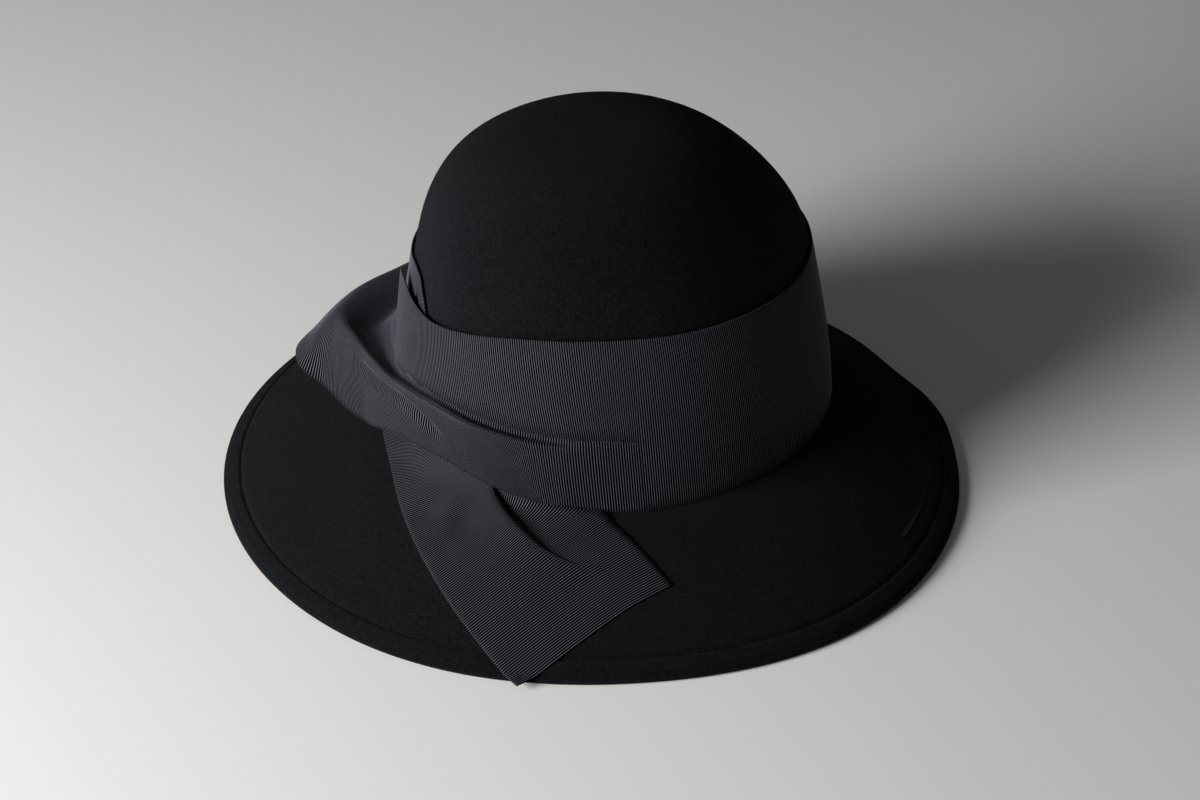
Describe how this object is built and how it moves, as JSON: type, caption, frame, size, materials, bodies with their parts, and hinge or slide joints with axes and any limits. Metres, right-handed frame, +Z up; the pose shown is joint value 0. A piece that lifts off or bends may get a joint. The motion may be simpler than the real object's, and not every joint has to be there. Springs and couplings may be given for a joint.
{
  "type": "felt hat",
  "caption": "Wide-brimmed felt hat with a round, hollow crown, a deep ribbed ribbon that flares over the brim on one side, and a loose ribbon end on the brim.",
  "frame": {"origin": "middle of the hat's outline, on the surface that the brim rests on", "axes": "+Z up; -Y the front of the hat; +X the wearer's left"},
  "size_m": [0.3258, 0.3188, 0.1635],
  "materials": {
    "felt": "matte wool felt",
    "ribbon": "ribbed, slight sheen"
  },
  "bodies": {
    "root": {"felt_body": "felt", "crown_band": "ribbon", "side_drape": "ribbon", "ribbon_tail": "ribbon"}
  },
  "joints": []
}
